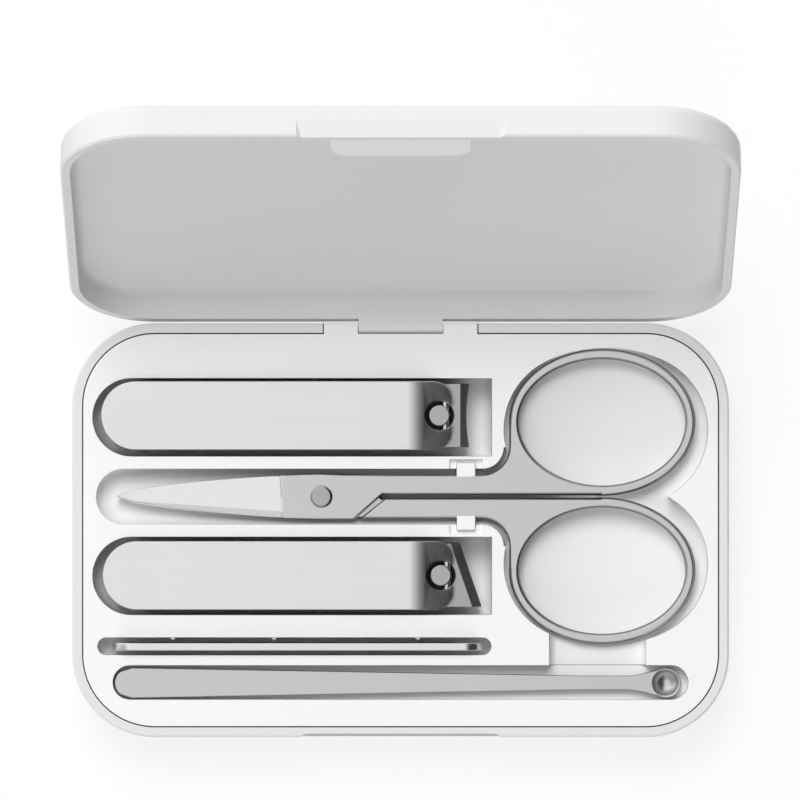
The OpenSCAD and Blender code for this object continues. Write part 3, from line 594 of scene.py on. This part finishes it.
class Studio(bpy.types.PropertyGroup):
    """Camera, light and table."""

    camera_height: FloatProperty(
        name="Camera height", description="Camera above the table", unit="LENGTH", default=1.344
    )
    camera_side: FloatProperty(
        name="Camera side", description="Camera's X", unit="LENGTH", default=-0.0001
    )
    camera_back: FloatProperty(
        name="Camera back", description="Camera's Y", unit="LENGTH", default=0.0212
    )
    lens: FloatProperty(name="Lens", description="Focal length in mm", default=368.0)
    overhead: FloatProperty(name="Overhead", description="Brightness overhead", default=0.92)
    middle_front: FloatProperty(
        name="Middle front", description="Brightness halfway up in front", default=0.38
    )
    middle_back: FloatProperty(
        name="Middle back", description="Brightness halfway up at the back", default=1.1
    )
    horizon_front: FloatProperty(
        name="Horizon front", description="Brightness at the horizon in front", default=0.25
    )
    horizon_back: FloatProperty(
        name="Horizon back", description="Brightness at the horizon at the back", default=0.9
    )
    flag: FloatProperty(name="Flag", description="Darkness of the flag on the right", default=0.95)
    key: FloatProperty(name="Key", description="Power of the key lamp", subtype="POWER", default=9.8)
    key_size: FloatProperty(
        name="Key size", description="Width of the key lamp", unit="LENGTH", default=0.7
    )
    key_place: FloatVectorProperty(
        name="Key place", description="Place of the key lamp", unit="LENGTH", default=(-0.12, 0.6, 1.15)
    )
    fill: FloatProperty(name="Fill", description="Power of the fill lamp", subtype="POWER", default=6.0)
    fill_size: FloatProperty(
        name="Fill size", description="Width of the fill lamp", unit="LENGTH", default=0.9
    )
    fill_place: FloatVectorProperty(
        name="Fill place", description="Place of the fill lamp", unit="LENGTH", default=(0.0, -1.2, 0.42)
    )
    table: FloatVectorProperty(
        name="Table", description="Colour of the table", subtype="COLOR", default=(0.9, 0.9, 0.9)
    )


LOOKS = {
    "manicure_case_plastic": PlasticLook,
    "manicure_steel": SteelLook,
    "manicure_edges": EdgeSizes,
    "manicure_file_cut": FileCut,
    "manicure_studio": Studio,
}


# Operators


class MANICURE_OT_case(bpy.types.Operator):
    """Dress the base, the lid and the tray in white plastic"""

    bl_idname = "manicure.case"
    bl_label = "Case and tray"

    def execute(self, context):
        look = context.scene.manicure_case_plastic
        shell = moulded_plastic("case plastic", look, look.shell)
        for node in ("base_shell", "lid_shell"):
            dress(node, shell)
        tray = moulded_plastic("tray plastic", look, look.tray)
        edges = context.scene.manicure_edges
        for node in ("tool_tray", "scissor_snap_tabs", "lid_magnet_cover"):
            rounded_copy(node, f"{node}_rounded", Rounding(edges.tray, inner=True), tray)
        return {"FINISHED"}


class MANICURE_OT_catch(bpy.types.Operator):
    """Dress the hinge pin and the magnets of the catch"""

    bl_idname = "manicure.catch"
    bl_label = "Hinge pin and catch"

    def execute(self, context):
        look = context.scene.manicure_steel
        dress("hinge_pin", polished_steel("pin steel", look))
        magnet = polished_steel("magnet nickel", look)
        dress("base_magnet", magnet)
        dress("lid_magnet", magnet)
        return {"FINISHED"}


class MANICURE_OT_clippers(bpy.types.Operator):
    """Finish the two clippers: levers, jaws, posts and heel rivets"""

    bl_idname = "manicure.clippers"
    bl_label = "Clippers"

    def execute(self, context):
        look = context.scene.manicure_steel
        edges = context.scene.manicure_edges
        lever = brushed_steel("lever steel", look, look.lever_tone)
        pin = polished_steel("rivet steel", look, look.pin_tone)
        for kind in CLIPPERS:
            plate = Rounding(edges.lever, edges.bend)
            rounded_copy(f"{kind}_lever", f"{kind}_lever_rounded", plate, lever)
            low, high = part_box(f"{kind}_post")
            post = ((low.x + high.x) / 2, (low.y + high.y) / 2)
            # Jaw steel with a painted shade disc about the post
            jaw = brushed_steel(f"{kind} jaw steel", look, look.jaw_tone, post)
            for part in ("lower_jaw", "upper_jaw"):
                rounded_copy(f"{kind}_{part}", f"{kind}_{part}_rounded", Rounding(edges.jaw), jaw)
            pins = Rounding(edges.post)
            rounded_copy(f"{kind}_post", f"{kind}_post_rounded", pins, pin, edges.play)
            rounded_copy(f"{kind}_heel_rivet", f"{kind}_heel_rivet_rounded", pins, pin)
        return {"FINISHED"}


class MANICURE_OT_scissors(bpy.types.Operator):
    """Finish the scissors' halves and their pivot"""

    bl_idname = "manicure.scissors"
    bl_label = "Scissors"

    def execute(self, context):
        look = context.scene.manicure_steel
        edges = context.scene.manicure_edges
        low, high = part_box("scissor_pivot")
        ground = (low.x + high.x) / 2 - look.blade_start
        steel = blade_steel("scissor steel", look, look.blade_tone, ground)
        half = Rounding(edges.scissor, 0.0, edges.blade, (ground, high.x + look.blade_start), False)
        for node in ("scissor_half_upper", "scissor_half_lower"):
            rounded_copy(node, f"{node}_rounded", half, steel)
        pin = polished_steel("pivot steel", look, look.pin_tone)
        rounded_copy("scissor_pivot", "scissor_pivot_rounded", Rounding(edges.post), pin)
        return {"FINISHED"}


class MANICURE_OT_nail_file(bpy.types.Operator):
    """Round the file's edges and cut its teeth"""

    bl_idname = "manicure.nail_file"
    bl_label = "Nail file"

    def execute(self, context):
        look = context.scene.manicure_steel
        edges = context.scene.manicure_edges
        steel = brushed_steel("file steel", look, look.file_tone, painted_dark_edges=False)
        rounded_copy("nail_file", "nail_file_rounded", Rounding(edges.file), steel)
        cut = context.scene.manicure_file_cut
        self.cut_teeth(context, cut, brushed_steel("tooth steel", look, look.jaw_tone))
        return {"FINISHED"}

    def cut_teeth(self, context, cut, material):
        """Slanted teeth in rows on both faces of the file, one mesh."""
        base = bpy.data.objects.new("file_teeth", bpy.data.meshes.new("file_teeth"))
        context.scene.collection.objects.link(base)
        group = teeth_nodes(material)
        modifier = base.modifiers.new("Teeth", "NODES")
        modifier.node_group = group
        length = FILE_HIGH.x - FILE_LOW.x - 2 * cut.plain_end
        wide = FILE_HIGH.z - FILE_LOW.z - 2 * cut.margin
        values = {
            "Count": int(length / cut.pitch),
            "Pitch": cut.pitch,
            "Start": (FILE_LOW + FILE_HIGH) / 2 - Vector((length / 2, 0, 0)),
            "Face": (FILE_HIGH.y - FILE_LOW.y) / 2,
            "Slant": cut.slant,
            "Sides": cut.sides,
            "Radius": cut.height,
            "Length": wide / math.cos(cut.slant),
        }
        for item in group.interface.items_tree:
            if item.item_type == "SOCKET" and item.in_out == "INPUT" and item.name in values:
                modifier[item.identifier] = values[item.name]
        keep_mesh(base)
        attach(base, BODY_OF["nail_file"])


class MANICURE_OT_ear_pick(bpy.types.Operator):
    """Round the ear pick's edges"""

    bl_idname = "manicure.ear_pick"
    bl_label = "Ear pick"

    def execute(self, context):
        look = context.scene.manicure_steel
        edges = context.scene.manicure_edges
        steel = brushed_steel("pick steel", look, look.pick_tone)
        rounded_copy("ear_pick", "ear_pick_rounded", Rounding(edges.pick), steel)
        return {"FINISHED"}


class MANICURE_OT_studio(bpy.types.Operator):
    """Set up the table, the light and the camera"""

    bl_idname = "manicure.studio"
    bl_label = "Studio"

    def execute(self, context):
        studio = context.scene.manicure_studio
        self.make_table(context, studio)
        self.make_sky(context, studio)
        self.make_lamp(context, "key", studio.key, studio.key_size, studio.key_place)
        self.make_lamp(context, "fill", studio.fill, studio.fill_size, studio.fill_place)
        self.make_camera(context, studio)
        context.scene.view_settings.view_transform = "Standard"
        return {"FINISHED"}

    def make_table(self, context, studio):
        """A plain pale floor that takes the case's shadow."""
        form = bmesh.new()
        bmesh.ops.create_grid(form, x_segments=8, y_segments=8, size=TABLE_REACH)
        mesh = bpy.data.meshes.new("table_top")
        form.to_mesh(mesh)
        form.free()
        table = bpy.data.objects.new("table_top", mesh)
        context.scene.collection.objects.link(table)
        finish = new_finish("table white")
        seen = finish.node("ShaderNodeLightPath", output="Is Camera Ray")
        glossy = finish.node("ShaderNodeLightPath", output="Is Glossy Ray")
        passed = finish.node("ShaderNodeLightPath", output="Is Transmission Ray")
        paper = finish.node("ShaderNodeBsdfDiffuse", {}, {"Color": shade(studio.table, 1.0)})
        glow = finish.node("ShaderNodeEmission", {}, {"Color": (1, 1, 1, 1), "Strength": 1.0})
        shown = finish.node("ShaderNodeMath", {"operation": "MAXIMUM"}, {0: seen + glossy, 1: passed})
        shader = finish.node("ShaderNodeMixShader", {}, {0: shown * TABLE_WHITE, 1: paper, 2: glow})
        finish.node("ShaderNodeOutputMaterial", {}, {"Surface": shader})
        mesh.materials.append(finish.owner)

    def make_sky(self, context, studio):
        """Soft light from all round, darker low in front and behind a flag on the right."""
        world = bpy.data.worlds.new("studio")
        context.scene.world = world
        finish = Finish(world)
        way = finish.node("ShaderNodeTexCoord", output="Generated")
        x = finish.node("ShaderNodeSeparateXYZ", {}, {0: way}, "X")
        y = finish.node("ShaderNodeSeparateXYZ", {}, {0: way}, "Y")
        z = finish.node("ShaderNodeSeparateXYZ", {}, {0: way}, "Z")
        middle = finish.smooth(y, *MIDDLE_Y, studio.middle_front, studio.middle_back)
        horizon = finish.smooth(y, *HORIZON_Y, studio.horizon_front, studio.horizon_back)
        level = finish.smooth(z, *HORIZON_TO_MIDDLE_Z, horizon, middle)
        left = studio.overhead * OVERHEAD_LEFT
        right = studio.overhead * OVERHEAD_RIGHT
        overhead = finish.smooth(x, *OVERHEAD_X, left, right)
        level = finish.smooth(z, *MIDDLE_TO_OVERHEAD_Z, level, overhead)
        level = level * (1.0 - finish.smooth(x, *FLAG_X) * studio.flag)
        seen = finish.node("ShaderNodeLightPath", output="Is Camera Ray")
        light = finish.node("ShaderNodeBackground", {}, {"Color": (1, 1, 1, 1), "Strength": level})
        white = finish.node("ShaderNodeBackground", {}, {"Color": (1, 1, 1, 1), "Strength": 1.0})
        shader = finish.node("ShaderNodeMixShader", {}, {0: seen, 1: light, 2: white})
        finish.node("ShaderNodeOutputWorld", {}, {"Surface": shader})

    def make_lamp(self, context, name, power, size, place):
        """A round lamp that points at the case and that steel doesn't mirror."""
        data = bpy.data.lights.new(name, "AREA")
        data.shape = "DISK"
        data.size = size
        data.energy = power
        lamp = bpy.data.objects.new(name, data)
        lamp.location = place
        lamp.rotation_euler = (-lamp.location).to_track_quat("-Z", "Y").to_euler()
        lamp.visible_glossy = False
        context.scene.collection.objects.link(lamp)

    def make_camera(self, context, studio):
        """Looks straight down."""
        data = bpy.data.cameras.new("camera")
        data.sensor_width = 36.0
        data.lens = studio.lens
        data.clip_start = 0.1
        data.clip_end = 20.0
        camera = bpy.data.objects.new("camera", data)
        camera.location = (studio.camera_side, studio.camera_back, studio.camera_height)
        context.scene.collection.objects.link(camera)
        context.scene.camera = camera


STEPS = (
    MANICURE_OT_case,
    MANICURE_OT_catch,
    MANICURE_OT_clippers,
    MANICURE_OT_scissors,
    MANICURE_OT_nail_file,
    MANICURE_OT_ear_pick,
    MANICURE_OT_studio,
)


class MANICURE_PT_panel(bpy.types.Panel):
    """Lists the steps that finish the case"""

    bl_label = "Manicure set case"
    bl_idname = "MANICURE_PT_panel"
    bl_space_type = "VIEW_3D"
    bl_region_type = "UI"
    bl_category = "Manicure set"

    def draw(self, context):
        for step in STEPS:
            self.layout.operator(step.bl_idname)
        for name, look in LOOKS.items():
            box = self.layout.box()
            for prop in look.__annotations__:
                box.prop(getattr(context.scene, name), prop)


def register():
    for look in LOOKS.values():
        bpy.utils.register_class(look)
    for step in STEPS:
        bpy.utils.register_class(step)
    bpy.utils.register_class(MANICURE_PT_panel)
    for name, look in LOOKS.items():
        setattr(bpy.types.Scene, name, PointerProperty(type=look))


def unregister():
    for name in LOOKS:
        delattr(bpy.types.Scene, name)
    bpy.utils.unregister_class(MANICURE_PT_panel)
    for step in reversed(STEPS):
        bpy.utils.unregister_class(step)
    for look in LOOKS.values():
        bpy.utils.unregister_class(look)


def main():
    """Runs every step."""
    register()
    for step in STEPS:
        group, name = step.bl_idname.split(".")
        getattr(getattr(bpy.ops, group), name)()


if __name__ == "__main__":
    main()
